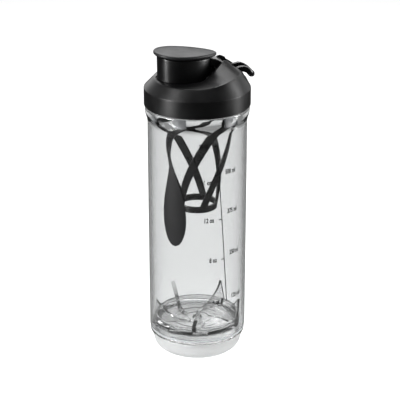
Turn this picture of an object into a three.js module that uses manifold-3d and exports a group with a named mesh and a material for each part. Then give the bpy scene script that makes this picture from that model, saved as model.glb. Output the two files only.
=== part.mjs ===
// Protein shaker bottle: clear bottle, screw-in vortex base, screw-on lid with a flip cap,
// a carry loop and a twisted agitator cage that hangs inside from the lid.
// Millimetres, +Z up. Origin: centre of the flat underside of the base, on the bottle's axis.
// The lid is symmetric about the XZ plane: the drinking side faces -X, hinge and loop +X.
import * as THREE from 'three';
import { mergeVertices } from 'three/addons/utils/BufferGeometryUtils.js';
import initManifold from 'manifold-3d';

const wasm = await initManifold();
wasm.setup();

// ---------- sizes ----------
const GAP = 0.3;                 // clearance between pieces that touch
const SEGMENTS = 48;             // facets round a turned piece
const BITE = 0.4;                // how far a joined feature sinks into its parent
const TALL = 260;                // longer than any cutting tool needs to be

const bottle = {
  topR: 37.0, taper: 0.6, wall: 2.2, height: 176.7, cornerR: 0.8,
  flangeOverhang: 1.9, flangeHeight: 4.7, flareHeight: 5.5,
};
const neck = { inset: 1.4, wall: 2.6, height: 11.3, threadRise: 5.0, edge: 0.5 };
const thread = { lead: 5.0, rootWidth: 2.0, crestWidth: 1.2, height: 1.4, play: 0.35, clearance: 0.55 };
const threadTurns = { neck: 1.0, base: 0.6 };

const cup = { height: 14.7, inset: 1.2, wall: 2.2, cornerR: 7.5, draft: 2.0 };
const flange = { height: 1.6, overhang: 0.7 };
const socketWall = 2.05;         // of the bottle, round the spigot
const spigot = { wall: 2.0, height: 11.4, threadRise: 6.8, skirtDepth: 3.6 };
const vortexFloor = { rise: 6.4, thickness: 2.4, filletR: 5.0, bossR: 3.2, bossHeight: 2.2 };
const swirlRing = { radii: [10, 18], height: 0.7, width: 1.4 };
const fin = {
  count: 5, thickness: 1.8, innerR: 8, height: 19.5, innerHeight: 1.6, sweep: 32, firstAngle: -115,
};
const baseGasket = { width: 1.4, height: 1.3 };

const lid = {
  skirtGap: 0.8, wall: 2.1, skirtHeight: 13.6, edge: 0.6, creaseInset: 0.3,
  shoulderInset: 7.05, deckHeight: 21.0, deckThickness: 2.2, wellDepth: 2.2,
  shoulderRise: 5.0, rimRise: 13.3, seatWidth: 6.7,
};
const lidGasket = { width: 4.0, height: 1.8, inset: 0.4 };
const rim = { frontInset: 1.0, tail: 6.3, narrowing: 0.2, land: 6.0, width: 1.0 };
const well = { frontInset: 1.4, tail: 4.3, narrowing: 0.42, clearance: 1.0 };
const spout = { offset: -2, wall: 1.8, height: 13.8, taper: 0.5, clearance: 2.1 };
const collar = { wall: 1.6, height: 9.6 };

const hinge = { inset: 16.1, rise: 8.6, knuckleR: 2.9, pinR: 1.2, armHalfWidth: 6.4, slotDepth: 4.0 };
const hingePin = { halfLength: 9.6 };
const cap = {
  frontInset: 2.3, hingeReach: 6.2, halfWidth: 14.6, narrowing: 0.16, wall: 1.9, height: 16.4,
  roof: 1.8, slope: 4.2, seatDip: 1.3, edge: 0.6,
};
const capTop = { lip: 2.5, sideLip: 1.8, tail: 4.1, narrowing: 0.3, thickness: 3.0, edge: 0.8 };
const spoutSeal = { overhang: 0.8, innerR: 6.0, height: 1.6 };

const loop = {
  pivotInset: 6.6, pivotRise: 1.6, stubR: 1.7, stubEnd: 14.6, reach: 17.4, halfWidth: 7.6,
  cornerR: 4.2, section: 4.4, crownReach: 6.5, sag: 0.075,
};
const pocket = { clearance: 2.4, behindPivot: 2.8, depth: 2.4 };

const agitatorRing = {
  clearance: 1.6, wall: 1.7, height: 8.0, rise: 1.3, tabDrop: 9.0, tabHalfAngle: 9,
};
const cage = {
  count: 5, drop: 4.7, length: 73.5, bottomR: 14.1, thickness: 2.0, clearance: 0.6,
  topWidth: 6.8, bottomWidth: 4.8, twistPerMm: 1.3, topCurl: 8, curlLength: 18.5,
  firstAngle: -161, hoopHeight: 5.0, hoopWall: 2.0, stations: 16,
};

// ---------- derived places, from the base up ----------
const bottleBottomR = bottle.topR - bottle.taper;
const cupRimR = bottleBottomR - cup.inset;
const flangeUnderZ = cup.height + GAP;
const flangeTopZ = flangeUnderZ + flange.height;
const bottleBottomZ = flangeTopZ + GAP + baseGasket.height + GAP;
const socketR = bottleBottomR - socketWall;
const spigotR = socketR - thread.height - thread.clearance;
const spigotTopZ = flangeTopZ + spigot.height;
const floorZ = flangeTopZ + vortexFloor.rise;
const baseGasketInnerR = spigotR + thread.height + GAP;
const baseThreadZ = flangeTopZ + spigot.threadRise;
const threadOffset = thread.rootWidth + thread.play;

const bottleTopZ = bottleBottomZ + bottle.height;
const shoulderZ = bottleTopZ - bottle.flangeHeight - bottle.flareHeight;
const bottleFlangeR = bottle.topR + bottle.flangeOverhang;
const neckR = bottle.topR - neck.inset;
const neckInnerR = neckR - neck.wall;
const neckTopZ = bottleTopZ + neck.height;
const neckThreadZ = bottleTopZ + neck.threadRise;

const lidBottomZ = bottleTopZ + lid.skirtGap;
const lidBoreR = neckR + thread.height + thread.clearance;
const lidR = lidBoreR + lid.wall;
const lidShoulderR = lidR - lid.shoulderInset;
const lidGasketR = lidBoreR - lidGasket.inset;
const gasketSeatZ = neckTopZ + GAP + lidGasket.height + GAP;
const deckZ = lidBottomZ + lid.deckHeight;
const wellZ = deckZ - lid.wellDepth;
const ceilingZ = wellZ - lid.deckThickness;

const hingeX = lidShoulderR - hinge.inset;
const hingeZ = deckZ + hinge.rise;
const capEgg = eggBetween(-(lidShoulderR - cap.frontInset), hingeX - cap.hingeReach, cap);
const wellEgg = eggBetween(
  -(lidShoulderR - well.frontInset), hingeX + well.tail,
  { halfWidth: cap.halfWidth + well.clearance, narrowing: well.narrowing });
const rimEgg = eggBetween(
  -(lidShoulderR - rim.frontInset), hingeX + rim.tail,
  { halfWidth: wellEgg.halfWidth + rim.width, narrowing: rim.narrowing });
const capTopEgg = eggBetween(
  capEgg.centreX - capEgg.halfLength - capTop.lip,
  capEgg.centreX + capEgg.halfLength + capTop.tail,
  { halfWidth: cap.halfWidth + capTop.sideLip, narrowing: capTop.narrowing });
const capTopZ = deckZ + cap.height;
const spoutX = capEgg.centreX + spout.offset;
const spoutRoom = Math.min(cap.halfWidth, capEgg.halfLength + spout.offset);
const spoutR = spoutRoom - cap.wall - spout.clearance;
const spoutTopZ = wellZ + spout.height;

const loopX = lidShoulderR - loop.pivotInset;
const loopZ = deckZ + loop.pivotRise;
const pocketHalfWidth = loop.halfWidth + pocket.clearance;

const ringOuterR = neckInnerR - agitatorRing.clearance;
const ringInnerR = ringOuterR - agitatorRing.wall;
const collarR = ringInnerR - GAP;
const cageTopZ = bottleTopZ - cage.drop;
const cageBottomZ = cageTopZ - cage.length;
const cageTopR = ringInnerR - cage.clearance - cage.thickness / 2;

// An egg outline that runs from one x to another.
function eggBetween(frontX, rearX, { halfWidth, narrowing }) {
  return { centreX: (frontX + rearX) / 2, halfLength: (rearX - frontX) / 2, halfWidth, narrowing };
}

// ---------- geometry helpers ----------
const radians = THREE.MathUtils.degToRad;

function solid(geometry) {
  const bare = geometry.clone();
  bare.deleteAttribute('normal');
  bare.deleteAttribute('uv');
  const merged = mergeVertices(bare, 1e-4);
  const vertProperties = new Float32Array(merged.attributes.position.array);
  const triVerts = new Uint32Array(merged.index.array);
  if (signedVolume(vertProperties, triVerts) < 0) {
    for (let i = 0; i < triVerts.length; i += 3) {
      [triVerts[i + 1], triVerts[i + 2]] = [triVerts[i + 2], triVerts[i + 1]];
    }
  }
  return new wasm.Manifold(new wasm.Mesh({ numProp: 3, vertProperties, triVerts }));
}

function signedVolume(positions, indices) {
  const corner = [new THREE.Vector3(), new THREE.Vector3(), new THREE.Vector3()];
  let sum = 0;
  for (let i = 0; i < indices.length; i += 3) {
    corner.forEach((point, k) => point.fromArray(positions, 3 * indices[i + k]));
    sum += corner[0].dot(corner[1].cross(corner[2])) / 6;
  }
  return sum;
}

function geometryOf(manifold) {
  const mesh = manifold.getMesh();
  const geometry = new THREE.BufferGeometry();
  geometry.setAttribute('position', new THREE.BufferAttribute(mesh.vertProperties, 3));
  geometry.setIndex(new THREE.BufferAttribute(mesh.triVerts, 1));
  geometry.computeVertexNormals();
  return geometry;
}

// A turned solid from [radius, height] corners; a profile off the axis closes on itself.
function turned(corners) {
  const points = corners.map(([r, z]) => new THREE.Vector2(r, z));
  const onAxis = corners[0][0] === 0 && corners.at(-1)[0] === 0;
  if (!onAxis) points.push(points[0].clone());
  return solid(new THREE.LatheGeometry(points, SEGMENTS).rotateX(Math.PI / 2));
}

// Quarter or part circle as [radius, height] corners, angles in degrees.
function arcCorners(centreR, centreZ, radius, fromAngle, toAngle, steps) {
  return Array.from({ length: steps + 1 }, (_, i) => {
    const angle = radians(fromAngle + (toAngle - fromAngle) * i / steps);
    return [centreR + radius * Math.cos(angle), centreZ + radius * Math.sin(angle)];
  });
}

// Skins a list of rings with equal point counts and caps both ends.
function loft(rings) {
  const count = rings[0].length;
  const positions = rings.flat().flatMap((p) => [p.x, p.y, p.z]);
  const indices = [];
  for (let i = 0; i < rings.length - 1; i += 1) {
    const here = i * count;
    const next = here + count;
    for (let k = 0; k < count; k += 1) {
      const k2 = (k + 1) % count;
      indices.push(here + k, next + k, here + k2);
      indices.push(here + k2, next + k, next + k2);
    }
  }
  capRing(positions, indices, rings[0], 0, false);
  capRing(positions, indices, rings.at(-1), (rings.length - 1) * count, true);
  const geometry = new THREE.BufferGeometry();
  geometry.setAttribute('position', new THREE.Float32BufferAttribute(positions, 3));
  geometry.setIndex(indices);
  return solid(geometry);
}

function capRing(positions, indices, ring, first, flip) {
  const centre = new THREE.Vector3();
  ring.forEach((p) => centre.addScaledVector(p, 1 / ring.length));
  const hub = positions.length / 3;
  positions.push(centre.x, centre.y, centre.z);
  ring.forEach((_, k) => {
    const a = first + k;
    const b = first + (k + 1) % ring.length;
    indices.push(hub, flip ? b : a, flip ? a : b);
  });
}

function prism(outline, depth) {
  return new THREE.ExtrudeGeometry(new THREE.Shape(outline), { depth, bevelEnabled: false });
}

// Extrudes an [x, z] outline along Y, centred on Y = 0.
function sidePrism(corners, halfWidth) {
  const outline = corners.map(([x, z]) => new THREE.Vector2(x, z));
  const geometry = prism(outline, 2 * halfWidth);
  return solid(geometry.rotateX(Math.PI / 2).translate(0, halfWidth, 0));
}

function box(minCorner, maxCorner) {
  const size = maxCorner.map((value, i) => value - minCorner[i]);
  const centre = maxCorner.map((value, i) => (value + minCorner[i]) / 2);
  return solid(new THREE.BoxGeometry(...size).translate(...centre));
}

// A cylinder along Y.
function crossRod(x, z, radius, fromY, toY, facets = 24) {
  const geometry = new THREE.CylinderGeometry(radius, radius, toY - fromY, facets);
  return solid(geometry.translate(x, (toY + fromY) / 2, z));
}

// Egg outline in plan, round towards -X and narrower towards +X; heightAt takes x.
function eggRing(egg, inset, heightAt) {
  return Array.from({ length: SEGMENTS }, (_, k) => {
    const angle = 2 * Math.PI * k / SEGMENTS;
    const width = (egg.halfWidth - inset) * (1 - egg.narrowing * Math.cos(angle));
    const x = egg.centreX + (egg.halfLength - inset) * Math.cos(angle);
    return new THREE.Vector3(x, width * Math.sin(angle), heightAt(x));
  });
}

// A helical ridge on a wall: outward on a male thread, inward on a female one.
function threadRidge(wallR, startZ, turns, direction) {
  const steps = Math.round(turns * SEGMENTS);
  const rings = [];
  for (let i = 0; i <= steps; i += 1) {
    const angle = 2 * Math.PI * i / SEGMENTS;
    const z = startZ + thread.lead * i / SEGMENTS;
    const runIn = Math.min(1, i / 5, (steps - i) / 5);
    const crest = wallR + direction * thread.height * (0.1 + 0.9 * runIn);
    const root = wallR - direction * BITE;
    const section = [
      [root, -thread.rootWidth / 2], [root, thread.rootWidth / 2],
      [crest, thread.crestWidth / 2], [crest, -thread.crestWidth / 2],
    ];
    rings.push(section.map(([r, dz]) => (
      new THREE.Vector3(r * Math.cos(angle), r * Math.sin(angle), z + dz))));
  }
  return loft(rings);
}

function mesh(name, manifold, colour, roughness, metalness = 0) {
  const material = new THREE.MeshStandardMaterial({ color: colour, roughness, metalness });
  const part = new THREE.Mesh(geometryOf(manifold), material);
  part.name = name;
  return part;
}

// ---------- base ----------
function baseCup() {
  const innerR = cupRimR - cup.wall;
  const cornerX = cupRimR - cup.cornerR - cup.draft;
  const outer = arcCorners(cornerX, cup.cornerR, cup.cornerR, -90, -8, 5);
  const inner = arcCorners(cornerX, cup.cornerR, cup.cornerR - cup.wall, -8, -90, 4);
  return turned([
    [0, 0], ...outer, [cupRimR, cup.height], [innerR, cup.height], ...inner, [0, cup.wall],
  ]);
}

function floorWithSpigot() {
  const innerR = spigotR - spigot.wall;
  const underZ = floorZ - vortexFloor.thickness;
  const lean = cup.draft * spigot.skirtDepth / (cup.height - cup.cornerR);
  const skirtOuterR = cupRimR - cup.wall - GAP - lean;
  const skirtInnerR = skirtOuterR - spigot.wall;
  const skirtBottomZ = flangeUnderZ - spigot.skirtDepth;
  const flangeR = cupRimR + flange.overhang;
  const filletR = vortexFloor.filletR;
  const fillet = arcCorners(innerR - filletR, floorZ + filletR, filletR, -10, -90, 4);
  const rings = swirlRing.radii.toReversed().flatMap((radius) => [
    [radius + swirlRing.width / 2, floorZ],
    [radius, floorZ + swirlRing.height],
    [radius - swirlRing.width / 2, floorZ],
  ]);
  const bossTopZ = floorZ + vortexFloor.bossHeight;
  return turned([
    [0, underZ], [skirtInnerR, underZ], [skirtInnerR, skirtBottomZ],
    [skirtOuterR, skirtBottomZ], [skirtOuterR, flangeUnderZ], [flangeR, flangeUnderZ],
    [flangeR, flangeTopZ], [spigotR, flangeTopZ], [spigotR, spigotTopZ],
    [innerR, spigotTopZ], ...fillet, ...rings,
    [vortexFloor.bossR, floorZ], [vortexFloor.bossR - 0.4, bossTopZ], [0, bossTopZ],
  ]);
}

// One swept blade: full height at the wall, falling in a curve towards the middle.
function vortexFin(angle) {
  const outerR = spigotR - BITE;
  const stations = 9;
  const fall = 2.2;
  const foot = fin.thickness / 2;
  const crown = foot * 0.6;
  const footZ = floorZ - BITE;
  const rings = [];
  for (let i = 0; i <= stations; i += 1) {
    const along = i / stations;
    const r = fin.innerR + (outerR - fin.innerR) * along;
    const turn = radians(angle + fin.sweep * (1 - along));
    const topZ = floorZ + THREE.MathUtils.lerp(fin.innerHeight, fin.height, along ** fall);
    const across = new THREE.Vector3(-Math.sin(turn), Math.cos(turn), 0);
    const centre = new THREE.Vector3(r * Math.cos(turn), r * Math.sin(turn), 0);
    const corner = (side, z) => centre.clone().addScaledVector(across, side).setZ(z);
    rings.push([corner(-foot, footZ), corner(foot, footZ), corner(crown, topZ), corner(-crown, topZ)]);
  }
  return loft(rings);
}

function vortexFloorPiece() {
  let piece = floorWithSpigot();
  piece = piece.add(threadRidge(spigotR, baseThreadZ, threadTurns.base, 1));
  for (let i = 0; i < fin.count; i += 1) {
    piece = piece.add(vortexFin(fin.firstAngle + 360 * i / fin.count));
  }
  return piece;
}

function flatRing(innerR, outerR, bottomZ, height) {
  return turned([
    [innerR, bottomZ], [outerR, bottomZ], [outerR, bottomZ + height], [innerR, bottomZ + height],
  ]);
}

// ---------- bottle ----------
function bottleBody() {
  const innerR = bottle.topR - bottle.wall;
  const taperTopZ = shoulderZ - 35;
  const flangeUnderZ = bottleTopZ - bottle.flangeHeight;
  const { edge } = neck;
  const shell = turned([
    [socketR, bottleBottomZ], [bottleBottomR - bottle.cornerR, bottleBottomZ],
    [bottleBottomR, bottleBottomZ + bottle.cornerR], [bottle.topR, taperTopZ],
    [bottle.topR, shoulderZ], [bottle.topR + bottle.flangeOverhang * 0.45, shoulderZ + 3],
    [bottleFlangeR, flangeUnderZ], [bottleFlangeR, bottleTopZ],
    [neckR, bottleTopZ], [neckR, neckTopZ - edge],
    [neckR - edge, neckTopZ], [neckInnerR + edge, neckTopZ], [neckInnerR, neckTopZ - edge],
    [neckInnerR, flangeUnderZ + 0.5], [innerR, shoulderZ], [innerR, taperTopZ],
  ]);
  const neckThread = threadRidge(neckR, neckThreadZ, threadTurns.neck, 1);
  const socketThread = threadRidge(socketR, baseThreadZ - threadOffset, threadTurns.base, -1);
  return shell.add(neckThread).add(socketThread);
}

// ---------- lid ----------
function smoothStep(t) {
  const u = THREE.MathUtils.clamp(t, 0, 1);
  return u * u * (3 - 2 * u);
}

// Height of the rim round the cap's well: level in front, rising to the hump at the hinge.
function rimHeight(x) {
  const start = hingeX - 20.5;
  const end = hingeX + 4.5;
  const t = Math.max(0, (x - start) / (end - start)) ** 1.3;
  return deckZ + lid.rimRise * smoothStep(t);
}

// Height of the crease between the sloping shoulder and the top.
function shoulderHeight(x) {
  const start = -lidShoulderR / 4;
  return deckZ - 0.4 + lid.shoulderRise * smoothStep((x - start) / (lidShoulderR - start));
}

function circleRing(radius, heightAt) {
  return Array.from({ length: SEGMENTS }, (_, k) => {
    const angle = 2 * Math.PI * k / SEGMENTS;
    const x = radius * Math.cos(angle);
    return new THREE.Vector3(x, radius * Math.sin(angle), heightAt(x));
  });
}

function lidOuter() {
  const creaseZ = lidBottomZ + lid.skirtHeight;
  return loft([
    circleRing(lidR - lid.edge, () => lidBottomZ),
    circleRing(lidR, () => lidBottomZ + lid.edge),
    circleRing(lidR, () => creaseZ - 1.0),
    circleRing(lidR - lid.creaseInset, () => creaseZ),
    circleRing(lidShoulderR + 0.5, (x) => shoulderHeight(x) - 0.7),
    circleRing(lidShoulderR - 0.4, (x) => shoulderHeight(x) + 0.1),
    eggRing(rimEgg, 0, rimHeight),
    eggRing(rimEgg, rim.land, rimHeight),
  ]);
}

function lidHollow() {
  const below = lidBottomZ - 5;
  const seatR = lidBoreR - lid.seatWidth;
  return turned([
    [0, below], [lidBoreR, below], [lidBoreR, gasketSeatZ], [seatR, gasketSeatZ],
    [seatR, ceilingZ], [0, ceilingZ],
  ]);
}

function wellCut() {
  const outline = loft([eggRing(wellEgg, 0, () => wellZ), eggRing(wellEgg, 0, () => TALL * 2)]);
  const reach = wellEgg.halfLength * 2;
  const deepEnd = hingeX - hinge.knuckleR - 2.2;
  const deep = outline.intersect(box([-reach, -reach, 0], [deepEnd, reach, TALL * 2]));
  const slotHalf = hinge.armHalfWidth + GAP;
  const slotEnd = hingeX + hinge.knuckleR + 0.8;
  const slot = box(
    [wellEgg.centreX, -slotHalf, hingeZ - hinge.slotDepth], [slotEnd, slotHalf, TALL * 2]);
  return deep.add(slot);
}

function spoutTube() {
  const height = spout.height + BITE;
  const middleZ = spoutTopZ - height / 2;
  const tube = new THREE.CylinderGeometry(spoutR - spout.taper, spoutR, height, 40);
  return solid(tube.rotateX(Math.PI / 2).translate(spoutX, 0, middleZ));
}

function spoutBore() {
  const radius = spoutR - spout.wall - spout.taper;
  const length = 3 * spout.height;
  const bore = new THREE.CylinderGeometry(radius, radius, length, 40);
  return solid(bore.rotateX(Math.PI / 2).translate(spoutX, 0, wellZ));
}

function lidShell() {
  const beyond = lidR * 2;
  const loopPocket = box(
    [loopX - pocket.behindPivot, -pocketHalfWidth, deckZ - pocket.depth],
    [beyond, pocketHalfWidth, TALL * 2]);
  const wallCut = box(
    [hingeX, -pocketHalfWidth + 3, hingeZ], [beyond, pocketHalfWidth - 3, TALL * 2]);
  const capPinHole = crossRod(
    hingeX, hingeZ, hinge.pinR + GAP, -hingePin.halfLength - GAP, hingePin.halfLength + GAP);
  const loopHole = crossRod(
    loopX, loopZ, loop.stubR + GAP, -loop.stubEnd - GAP, loop.stubEnd + GAP);
  const collarRing = flatRing(
    collarR - collar.wall, collarR, ceilingZ - collar.height, collar.height + BITE);
  const lidThread = threadRidge(lidBoreR, neckThreadZ - threadOffset, threadTurns.neck, -1);
  return lidOuter()
    .subtract(lidHollow())
    .subtract(wellCut())
    .subtract(loopPocket)
    .subtract(wallCut)
    .add(spoutTube())
    .subtract(spoutBore())
    .subtract(capPinHole)
    .subtract(loopHole)
    .add(collarRing)
    .add(lidThread);
}

// ---------- flip cap ----------
// The cap's top slopes down to the hinge; lift moves the plane up along Z.
function capPlane(lift) {
  return (x) => capTopZ + lift - Math.tan(radians(cap.slope)) * (x - capEgg.centreX);
}

// Everything below the line where the cap's skirt ends.
function underSkirt() {
  const steps = 20;
  const farX = lidR;
  const depth = deckZ - 25;
  const line = Array.from({ length: steps + 1 }, (_, i) => {
    const x = -farX + 2 * farX * i / steps;
    return [x, rimHeight(x) - cap.seatDip];
  });
  return sidePrism([[-farX, depth], ...line, [farX, depth]], farX);
}

function flipCap() {
  const below = () => wellZ - 4;
  const barrel = loft([
    eggRing(capEgg, 0.3, below), eggRing(capEgg, 0, capPlane(-1.0)),
    eggRing(capEgg, cap.edge, capPlane(0))]);
  const hollow = loft([
    eggRing(capEgg, cap.wall + 0.3, below), eggRing(capEgg, cap.wall, capPlane(-cap.roof))]);
  const bossR = spoutSeal.innerR - GAP;
  const bossBottomZ = spoutTopZ + 2 * GAP;
  const bossTopZ = capPlane(-cap.roof / 2)(spoutX + bossR);
  const boss = turned([[0, bossBottomZ], [bossR, bossBottomZ], [bossR, bossTopZ], [0, bossTopZ]]);
  const rootX = capEgg.centreX + capEgg.halfLength - cap.wall;
  const armTopX = hingeX - hinge.knuckleR - 1.2;
  const arm = sidePrism([
    [rootX, hingeZ + 0.8], [rootX, capPlane(-0.8)(rootX)], [armTopX, capPlane(-0.8)(armTopX)],
    [hingeX + hinge.knuckleR * 0.75, hingeZ + hinge.knuckleR * 0.66],
    [hingeX, hingeZ], [hingeX - hinge.knuckleR * 0.9, hingeZ - hinge.knuckleR * 0.4],
  ], hinge.armHalfWidth);
  const knuckle = crossRod(
    hingeX, hingeZ, hinge.knuckleR, -hinge.armHalfWidth, hinge.armHalfWidth);
  const pinHole = crossRod(
    hingeX, hingeZ, hinge.pinR + GAP, -hinge.armHalfWidth - 1, hinge.armHalfWidth + 1);
  return barrel
    .subtract(hollow)
    .subtract(underSkirt())
    .add(boss.translate([spoutX, 0, 0]))
    .add(arm)
    .add(knuckle)
    .subtract(pinHole);
}

// Teardrop plate with a lip that overhangs the barrel and a shallow sunk field.
function capTopDisc() {
  const { edge, thickness } = capTop;
  return loft([
    eggRing(capTopEgg, edge * 2, capPlane(GAP)),
    eggRing(capTopEgg, 0, capPlane(GAP + 1.0)),
    eggRing(capTopEgg, 0, capPlane(GAP + thickness - edge)),
    eggRing(capTopEgg, edge, capPlane(GAP + thickness)),
    eggRing(capTopEgg, edge + 1.0, capPlane(GAP + thickness)),
    eggRing(capTopEgg, edge + 1.3, capPlane(GAP + thickness - 0.35)),
  ]);
}

function spoutSealRing() {
  const outerR = spoutR + spoutSeal.overhang;
  const ring = flatRing(spoutSeal.innerR, outerR, spoutTopZ + GAP, spoutSeal.height);
  return ring.translate([spoutX, 0, 0]);
}

// ---------- carry loop ----------
// The loop rises from its axle to a crown, then droops to its far bar.
function loopHeight(x) {
  const fromCrown = x - loopX - loop.crownReach;
  return loopZ + loop.sag * (loop.crownReach ** 2 - fromCrown ** 2);
}

function carryLoop() {
  const half = loop.section / 2;
  const arm = loop.halfWidth - half;
  const farX = loopX + loop.reach - half;
  const turnX = farX - loop.cornerR;
  const turnY = arm - loop.cornerR;
  const plan = new THREE.Path();
  plan.moveTo(loopX, -arm);
  plan.lineTo(turnX, -arm);
  plan.absarc(turnX, -turnY, loop.cornerR, -Math.PI / 2, 0);
  plan.lineTo(farX, turnY);
  plan.absarc(turnX, turnY, loop.cornerR, 0, Math.PI / 2);
  plan.lineTo(loopX, arm);
  const corner = half * 0.45;
  const section = [
    [half, corner], [corner, half], [-corner, half], [-half, corner],
    [-half, -corner], [-corner, -half], [corner, -half], [half, -corner],
  ];
  const steps = 30;
  const rings = Array.from({ length: steps + 1 }, (_, i) => {
    const point = plan.getPointAt(i / steps);
    const along = plan.getTangentAt(i / steps);
    return section.map(([side, up]) => new THREE.Vector3(
      point.x + side * along.y, point.y - side * along.x, loopHeight(point.x) + up));
  });
  const axle = crossRod(loopX, loopZ, loop.stubR, -loop.stubEnd, loop.stubEnd);
  return loft(rings).add(axle);
}

// ---------- agitator ----------
function cagePoint(z) {
  const share = (z - cageBottomZ) / cage.length;
  const r = THREE.MathUtils.lerp(cage.bottomR, cageTopR, share);
  const curl = Math.max(0, (z - cageTopZ + cage.curlLength) / 14) ** 2 * cage.topCurl;
  const angle = radians(cage.twistPerMm * (z - cageBottomZ) + curl);
  return { angle, r, share };
}

function cageBand(firstAngle) {
  const rings = [];
  for (let i = 0; i <= cage.stations; i += 1) {
    const z = cageBottomZ + cage.length * i / cage.stations;
    const { angle, r, share } = cagePoint(z);
    const turn = angle + radians(firstAngle);
    const slope = new THREE.Vector2(r * (cagePoint(z + 0.5).angle - cagePoint(z - 0.5).angle), 1);
    slope.normalize();
    const around = new THREE.Vector3(-Math.sin(turn), Math.cos(turn), 0);
    const outward = new THREE.Vector3(Math.cos(turn), Math.sin(turn), 0);
    const across = around.clone().multiplyScalar(slope.y).setZ(-slope.x);
    const centre = outward.clone().multiplyScalar(r).setZ(z);
    const halfWidth = THREE.MathUtils.lerp(cage.bottomWidth, cage.topWidth, share) / 2;
    const halfThick = cage.thickness / 2;
    rings.push([[-1, -1], [1, -1], [1, 1], [-1, 1]].map(([side, out]) => (
      centre.clone().addScaledVector(across, side * halfWidth)
        .addScaledVector(outward, out * halfThick))));
  }
  return loft(rings);
}

function agitatorCage() {
  const hoopR = cage.bottomR + cage.hoopWall / 2;
  let piece = flatRing(
    hoopR - cage.hoopWall, hoopR, cageBottomZ - cage.hoopHeight / 2, cage.hoopHeight);
  for (let i = 0; i < cage.count; i += 1) {
    piece = piece.add(cageBand(cage.firstAngle + 360 * i / cage.count));
  }
  return piece;
}

function clipRing() {
  const bottomZ = bottleTopZ + agitatorRing.rise;
  const tabZ = bottomZ - agitatorRing.tabDrop;
  let piece = flatRing(ringInnerR, ringOuterR, bottomZ, agitatorRing.height);
  const hang = flatRing(ringInnerR, ringOuterR, tabZ, agitatorRing.tabDrop + BITE);
  const topAngle = THREE.MathUtils.radToDeg(cagePoint(cageTopZ - 2).angle) + cage.firstAngle;
  for (let i = 0; i < cage.count; i += 1) {
    piece = piece.add(hang.intersect(wedge(topAngle + 360 * i / cage.count)));
  }
  return piece;
}

// A pie slice round one tab.
function wedge(middle) {
  const far = ringOuterR * 2;
  const corners = [-1, 1].map((side) => {
    const angle = radians(middle + side * agitatorRing.tabHalfAngle);
    return new THREE.Vector2(far * Math.cos(angle), far * Math.sin(angle));
  });
  return solid(prism([new THREE.Vector2(0, 0), ...corners], TALL * 2));
}

// ---------- assembly ----------
const CLEAR = '#dfe3e4';
const BLACK = '#17181a';
const SILICONE = '#4a4d50';
const shaker = new THREE.Group();
shaker.add(
  mesh('base_cup', baseCup(), CLEAR, 0.12),
  mesh('vortex_floor', vortexFloorPiece(), CLEAR, 0.1),
  mesh('base_gasket', flatRing(
    baseGasketInnerR, baseGasketInnerR + baseGasket.width, flangeTopZ + GAP,
    baseGasket.height), '#c9cdd0', 0.6),
  mesh('bottle_body', bottleBody(), CLEAR, 0.05),
  mesh('lid_gasket', flatRing(
    lidGasketR - lidGasket.width, lidGasketR, neckTopZ + GAP, lidGasket.height), SILICONE, 0.7),
  mesh('lid_shell', lidShell(), BLACK, 0.45),
  mesh('flip_cap', flipCap(), BLACK, 0.5),
  mesh('cap_top_disc', capTopDisc(), '#222426', 0.5),
  mesh('spout_seal', spoutSealRing(), SILICONE, 0.7),
  mesh('cap_hinge_pin', crossRod(
    hingeX, hingeZ, hinge.pinR, -hingePin.halfLength, hingePin.halfLength), '#a9adb0', 0.3, 1),
  mesh('carry_loop', carryLoop(), BLACK, 0.3),
  mesh('agitator_ring', clipRing(), '#6d7073', 0.4),
  mesh('agitator_cage', agitatorCage(), BLACK, 0.3),
);

export default shaker;
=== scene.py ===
# %% [markdown]
# # A clear shaker bottle with a flip-cap lid
# The bottle is a clear tube that a finned floor screws into from below and a black lid screws
# onto from above. A twisted cage hangs inside from the lid. The pieces could all be carried over
# from the CAD frame, but its round parts have 48 flat sides, and a clear wall shows every one.
# So each visible piece is modelled again here, smooth, in the places that the frame gives.

# %% Load the frame
import math

import bmesh
import bpy
from mathutils import Matrix, Vector


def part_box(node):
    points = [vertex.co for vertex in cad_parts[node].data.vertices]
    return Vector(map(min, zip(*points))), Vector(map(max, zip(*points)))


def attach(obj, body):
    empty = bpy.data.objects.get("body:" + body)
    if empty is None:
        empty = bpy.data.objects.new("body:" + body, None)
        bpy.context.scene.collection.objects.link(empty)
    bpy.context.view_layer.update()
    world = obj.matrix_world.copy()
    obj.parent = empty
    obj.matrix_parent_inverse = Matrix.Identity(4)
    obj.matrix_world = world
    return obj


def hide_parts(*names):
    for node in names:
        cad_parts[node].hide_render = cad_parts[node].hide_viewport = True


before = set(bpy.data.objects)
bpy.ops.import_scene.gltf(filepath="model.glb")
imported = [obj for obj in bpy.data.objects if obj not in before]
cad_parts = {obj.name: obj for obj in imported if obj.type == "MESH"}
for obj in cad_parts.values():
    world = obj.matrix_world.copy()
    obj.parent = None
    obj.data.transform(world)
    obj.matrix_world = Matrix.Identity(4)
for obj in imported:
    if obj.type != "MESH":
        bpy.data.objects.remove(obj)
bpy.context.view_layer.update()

scene = bpy.context.scene
print("CAD nodes:", ", ".join(sorted(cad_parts)))

# %% [markdown]
# ## Camera
# A long lens from a metre and a half away, a little above the lid, makes the walls of the bottle
# look almost parallel. The camera could be a parallel one, but the base is seen from slightly
# higher than the lid, and only a real lens shows that.

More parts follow.
